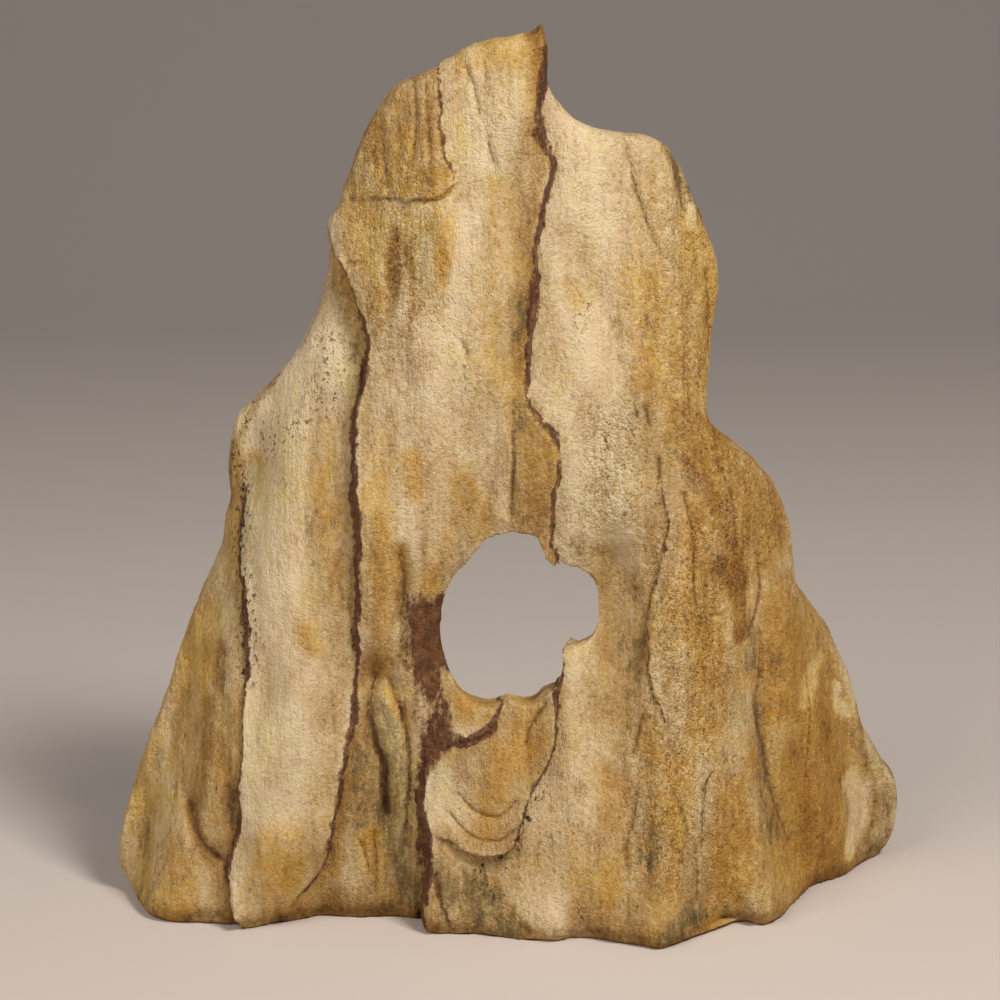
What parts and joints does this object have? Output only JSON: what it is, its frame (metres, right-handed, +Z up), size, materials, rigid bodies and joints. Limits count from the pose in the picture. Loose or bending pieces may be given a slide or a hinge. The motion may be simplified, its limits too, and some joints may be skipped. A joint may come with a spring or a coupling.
{
  "type": "sandstone sculpture",
  "caption": "Free-standing peak-shaped slab of banded sandstone with stepped brown seams, a natural hole through its middle and a flat foot.",
  "frame": {"origin": "middle of the bounding box at the flat foot, on the surface that the stone stands on", "axes": "+Z up the stone towards its tip, -Y out of the front face with the brown seams, +X to the right of that face"},
  "size_m": [0.3346, 0.1454, 0.363],
  "materials": {
    "sandstone": "matte"
  },
  "bodies": {
    "root": {"sandstone": "sandstone"}
  },
  "joints": []
}
